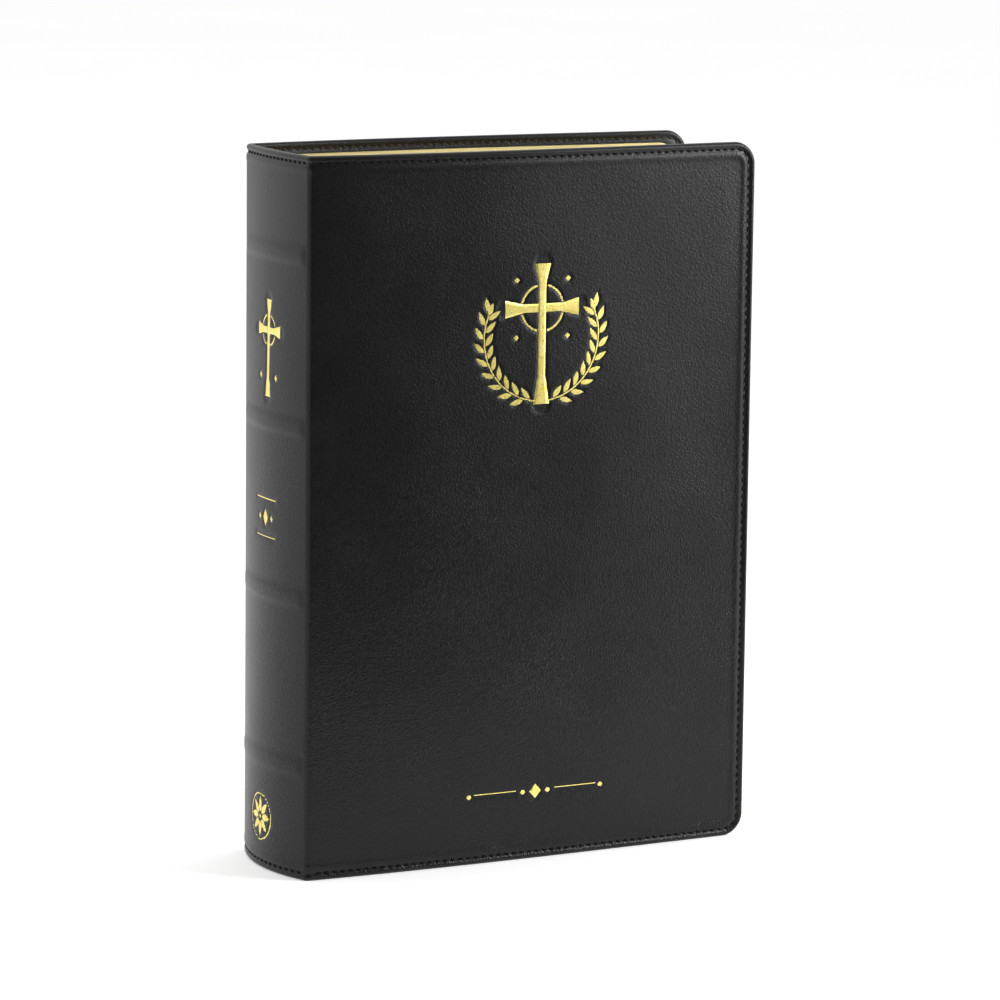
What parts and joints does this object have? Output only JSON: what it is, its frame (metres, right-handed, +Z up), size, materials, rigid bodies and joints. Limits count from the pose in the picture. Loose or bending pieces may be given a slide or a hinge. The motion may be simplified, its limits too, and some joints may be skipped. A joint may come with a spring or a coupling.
{
  "type": "leather bible",
  "caption": "Upright closed leather bible with rounded corners, stitched edges, raised spine bands, gilt page edges, covers that open and leaves that fan.",
  "frame": {"origin": "middle of the standing book's box, at its foot", "axes": "+Z up along the spine; +X from the spine to the fore-edge; +Y from the front cover to the back cover"},
  "size_m": [0.1676, 0.05, 0.235],
  "materials": {
    "leather": "satin",
    "thread": "matte",
    "foil": "satin",
    "gilt": "satin",
    "card": "matte",
    "kraft": "matte",
    "cloth": "matte",
    "linen": "matte",
    "headband": "satin",
    "endpaper": "matte",
    "page": "matte"
  },
  "bodies": {
    "spine_and_block": {"spine_leather": "leather", "spine_head_stitching": "thread", "spine_tail_stitching": "thread", "spine_inlay": "card", "raised_band_1": "card", "raised_band_2": "card", "raised_band_3": "card", "raised_band_4": "card", "hollow_tube": "kraft", "spine_lining": "kraft", "mull": "cloth", "sewing_tape_1": "cloth", "sewing_tape_2": "cloth", "sewing_tape_3": "cloth", "sewing_tape_4": "cloth", "kettle_stitch_head": "linen", "kettle_stitch_tail": "linen", "headband": "headband", "tailband": "headband", "section_folds": "page", "centre_section": "page"},
    "front_cover": {"front_cover_leather": "leather", "front_cover_board": "card", "front_cover_stitching": "thread", "front_pastedown": "endpaper"},
    "front_section_01": {"front_section_01": "page"},
    "front_section_02": {"front_section_02": "page"},
    "front_section_03": {"front_section_03": "page"},
    "front_section_04": {"front_section_04": "page"},
    "front_section_05": {"front_section_05": "page"},
    "front_section_06": {"front_section_06": "page"},
    "front_section_07": {"front_section_07": "page"},
    "front_section_08": {"front_section_08": "page"},
    "front_section_09": {"front_section_09": "page"},
    "front_section_10": {"front_section_10": "page"},
    "front_section_11": {"front_section_11": "page"},
    "front_section_12": {"front_section_12": "page"},
    "front_section_13": {"front_section_13": "page"},
    "front_section_14": {"front_section_14": "page"},
    "front_flyleaf": {"front_flyleaf": "endpaper"},
    "back_cover": {"back_cover_leather": "leather", "back_cover_board": "card", "back_cover_stitching": "thread", "back_pastedown": "endpaper"},
    "back_section_01": {"back_section_01": "page"},
    "back_section_02": {"back_section_02": "page"},
    "back_section_03": {"back_section_03": "page"},
    "back_section_04": {"back_section_04": "page"},
    "back_section_05": {"back_section_05": "page"},
    "back_section_06": {"back_section_06": "page"},
    "back_section_07": {"back_section_07": "page"},
    "back_section_08": {"back_section_08": "page"},
    "back_section_09": {"back_section_09": "page"},
    "back_section_10": {"back_section_10": "page"},
    "back_section_11": {"back_section_11": "page"},
    "back_section_12": {"back_section_12": "page"},
    "back_section_13": {"back_section_13": "page"},
    "back_section_14": {"back_section_14": "page"},
    "back_flyleaf": {"back_flyleaf": "endpaper"}
  },
  "joints": [
    {"name": "front_cover_hinge", "type": "hinge", "parent": "spine_and_block", "child": "front_cover", "pos_m": [-0.07825, -0.025, 0.1175], "axis": [0, 0, -1], "range_deg": [0, 180]},
    {"name": "front_section_01_turn", "type": "hinge", "parent": "spine_and_block", "child": "front_section_01", "pos_m": [-0.07166, -0.00207, 0.1175], "axis": [0, 0, -1], "range_deg": [0, 5.4]},
    {"name": "front_section_02_turn", "type": "hinge", "parent": "spine_and_block", "child": "front_section_02", "pos_m": [-0.07166, -0.00356, 0.1175], "axis": [0, 0, -1], "range_deg": [0, 10.8]},
    {"name": "front_section_03_turn", "type": "hinge", "parent": "spine_and_block", "child": "front_section_03", "pos_m": [-0.07166, -0.00505, 0.1175], "axis": [0, 0, -1], "range_deg": [0, 16.2]},
    {"name": "front_section_04_turn", "type": "hinge", "parent": "spine_and_block", "child": "front_section_04", "pos_m": [-0.07166, -0.00654, 0.1175], "axis": [0, 0, -1], "range_deg": [0, 21.6]},
    {"name": "front_section_05_turn", "type": "hinge", "parent": "spine_and_block", "child": "front_section_05", "pos_m": [-0.07166, -0.00803, 0.1175], "axis": [0, 0, -1], "range_deg": [0, 27]},
    {"name": "front_section_06_turn", "type": "hinge", "parent": "spine_and_block", "child": "front_section_06", "pos_m": [-0.07166, -0.00952, 0.1175], "axis": [0, 0, -1], "range_deg": [0, 32.4]},
    {"name": "front_section_07_turn", "type": "hinge", "parent": "spine_and_block", "child": "front_section_07", "pos_m": [-0.07166, -0.01101, 0.1175], "axis": [0, 0, -1], "range_deg": [0, 37.8]},
    {"name": "front_section_08_turn", "type": "hinge", "parent": "spine_and_block", "child": "front_section_08", "pos_m": [-0.07166, -0.01249, 0.1175], "axis": [0, 0, -1], "range_deg": [0, 43.2]},
    {"name": "front_section_09_turn", "type": "hinge", "parent": "spine_and_block", "child": "front_section_09", "pos_m": [-0.07166, -0.01398, 0.1175], "axis": [0, 0, -1], "range_deg": [0, 48.6]},
    {"name": "front_section_10_turn", "type": "hinge", "parent": "spine_and_block", "child": "front_section_10", "pos_m": [-0.07166, -0.01547, 0.1175], "axis": [0, 0, -1], "range_deg": [0, 54]},
    {"name": "front_section_11_turn", "type": "hinge", "parent": "spine_and_block", "child": "front_section_11", "pos_m": [-0.07166, -0.01696, 0.1175], "axis": [0, 0, -1], "range_deg": [0, 59.4]},
    {"name": "front_section_12_turn", "type": "hinge", "parent": "spine_and_block", "child": "front_section_12", "pos_m": [-0.07166, -0.01845, 0.1175], "axis": [0, 0, -1], "range_deg": [0, 64.8]},
    {"name": "front_section_13_turn", "type": "hinge", "parent": "spine_and_block", "child": "front_section_13", "pos_m": [-0.07166, -0.01994, 0.1175], "axis": [0, 0, -1], "range_deg": [0, 70.2]},
    {"name": "front_section_14_turn", "type": "hinge", "parent": "spine_and_block", "child": "front_section_14", "pos_m": [-0.07166, -0.02143, 0.1175], "axis": [0, 0, -1], "range_deg": [0, 75.6]},
    {"name": "front_flyleaf_turn", "type": "hinge", "parent": "spine_and_block", "child": "front_flyleaf", "pos_m": [-0.07166, -0.0223, 0.1175], "axis": [0, 0, -1], "range_deg": [0, 81]},
    {"name": "back_cover_hinge", "type": "hinge", "parent": "spine_and_block", "child": "back_cover", "pos_m": [-0.07825, 0.025, 0.1175], "axis": [0, 0, 1], "range_deg": [0, 180]},
    {"name": "back_section_01_turn", "type": "hinge", "parent": "spine_and_block", "child": "back_section_01", "pos_m": [-0.07166, 0.00207, 0.1175], "axis": [0, 0, 1], "range_deg": [0, 5.4]},
    {"name": "back_section_02_turn", "type": "hinge", "parent": "spine_and_block", "child": "back_section_02", "pos_m": [-0.07166, 0.00356, 0.1175], "axis": [0, 0, 1], "range_deg": [0, 10.8]},
    {"name": "back_section_03_turn", "type": "hinge", "parent": "spine_and_block", "child": "back_section_03", "pos_m": [-0.07166, 0.00505, 0.1175], "axis": [0, 0, 1], "range_deg": [0, 16.2]},
    {"name": "back_section_04_turn", "type": "hinge", "parent": "spine_and_block", "child": "back_section_04", "pos_m": [-0.07166, 0.00654, 0.1175], "axis": [0, 0, 1], "range_deg": [0, 21.6]},
    {"name": "back_section_05_turn", "type": "hinge", "parent": "spine_and_block", "child": "back_section_05", "pos_m": [-0.07166, 0.00803, 0.1175], "axis": [0, 0, 1], "range_deg": [0, 27]},
    {"name": "back_section_06_turn", "type": "hinge", "parent": "spine_and_block", "child": "back_section_06", "pos_m": [-0.07166, 0.00952, 0.1175], "axis": [0, 0, 1], "range_deg": [0, 32.4]},
    {"name": "back_section_07_turn", "type": "hinge", "parent": "spine_and_block", "child": "back_section_07", "pos_m": [-0.07166, 0.01101, 0.1175], "axis": [0, 0, 1], "range_deg": [0, 37.8]},
    {"name": "back_section_08_turn", "type": "hinge", "parent": "spine_and_block", "child": "back_section_08", "pos_m": [-0.07166, 0.01249, 0.1175], "axis": [0, 0, 1], "range_deg": [0, 43.2]},
    {"name": "back_section_09_turn", "type": "hinge", "parent": "spine_and_block", "child": "back_section_09", "pos_m": [-0.07166, 0.01398, 0.1175], "axis": [0, 0, 1], "range_deg": [0, 48.6]},
    {"name": "back_section_10_turn", "type": "hinge", "parent": "spine_and_block", "child": "back_section_10", "pos_m": [-0.07166, 0.01547, 0.1175], "axis": [0, 0, 1], "range_deg": [0, 54]},
    {"name": "back_section_11_turn", "type": "hinge", "parent": "spine_and_block", "child": "back_section_11", "pos_m": [-0.07166, 0.01696, 0.1175], "axis": [0, 0, 1], "range_deg": [0, 59.4]},
    {"name": "back_section_12_turn", "type": "hinge", "parent": "spine_and_block", "child": "back_section_12", "pos_m": [-0.07166, 0.01845, 0.1175], "axis": [0, 0, 1], "range_deg": [0, 64.8]},
    {"name": "back_section_13_turn", "type": "hinge", "parent": "spine_and_block", "child": "back_section_13", "pos_m": [-0.07166, 0.01994, 0.1175], "axis": [0, 0, 1], "range_deg": [0, 70.2]},
    {"name": "back_section_14_turn", "type": "hinge", "parent": "spine_and_block", "child": "back_section_14", "pos_m": [-0.07166, 0.02143, 0.1175], "axis": [0, 0, 1], "range_deg": [0, 75.6]},
    {"name": "back_flyleaf_turn", "type": "hinge", "parent": "spine_and_block", "child": "back_flyleaf", "pos_m": [-0.07166, 0.0223, 0.1175], "axis": [0, 0, 1], "range_deg": [0, 81]}
  ],
  "couplings": [
    {"joint": "front_section_01_turn", "follows": "front_cover_hinge", "ratio": 0.03},
    {"joint": "front_section_02_turn", "follows": "front_cover_hinge", "ratio": 0.06},
    {"joint": "front_section_03_turn", "follows": "front_cover_hinge", "ratio": 0.09},
    {"joint": "front_section_04_turn", "follows": "front_cover_hinge", "ratio": 0.12},
    {"joint": "front_section_05_turn", "follows": "front_cover_hinge", "ratio": 0.15},
    {"joint": "front_section_06_turn", "follows": "front_cover_hinge", "ratio": 0.18},
    {"joint": "front_section_07_turn", "follows": "front_cover_hinge", "ratio": 0.21},
    {"joint": "front_section_08_turn", "follows": "front_cover_hinge", "ratio": 0.24},
    {"joint": "front_section_09_turn", "follows": "front_cover_hinge", "ratio": 0.27},
    {"joint": "front_section_10_turn", "follows": "front_cover_hinge", "ratio": 0.3},
    {"joint": "front_section_11_turn", "follows": "front_cover_hinge", "ratio": 0.33},
    {"joint": "front_section_12_turn", "follows": "front_cover_hinge", "ratio": 0.36},
    {"joint": "front_section_13_turn", "follows": "front_cover_hinge", "ratio": 0.39},
    {"joint": "front_section_14_turn", "follows": "front_cover_hinge", "ratio": 0.42},
    {"joint": "front_flyleaf_turn", "follows": "front_cover_hinge", "ratio": 0.45},
    {"joint": "back_section_01_turn", "follows": "back_cover_hinge", "ratio": 0.03},
    {"joint": "back_section_02_turn", "follows": "back_cover_hinge", "ratio": 0.06},
    {"joint": "back_section_03_turn", "follows": "back_cover_hinge", "ratio": 0.09},
    {"joint": "back_section_04_turn", "follows": "back_cover_hinge", "ratio": 0.12},
    {"joint": "back_section_05_turn", "follows": "back_cover_hinge", "ratio": 0.15},
    {"joint": "back_section_06_turn", "follows": "back_cover_hinge", "ratio": 0.18},
    {"joint": "back_section_07_turn", "follows": "back_cover_hinge", "ratio": 0.21},
    {"joint": "back_section_08_turn", "follows": "back_cover_hinge", "ratio": 0.24},
    {"joint": "back_section_09_turn", "follows": "back_cover_hinge", "ratio": 0.27},
    {"joint": "back_section_10_turn", "follows": "back_cover_hinge", "ratio": 0.3},
    {"joint": "back_section_11_turn", "follows": "back_cover_hinge", "ratio": 0.33},
    {"joint": "back_section_12_turn", "follows": "back_cover_hinge", "ratio": 0.36},
    {"joint": "back_section_13_turn", "follows": "back_cover_hinge", "ratio": 0.39},
    {"joint": "back_section_14_turn", "follows": "back_cover_hinge", "ratio": 0.42},
    {"joint": "back_flyleaf_turn", "follows": "back_cover_hinge", "ratio": 0.45}
  ]
}
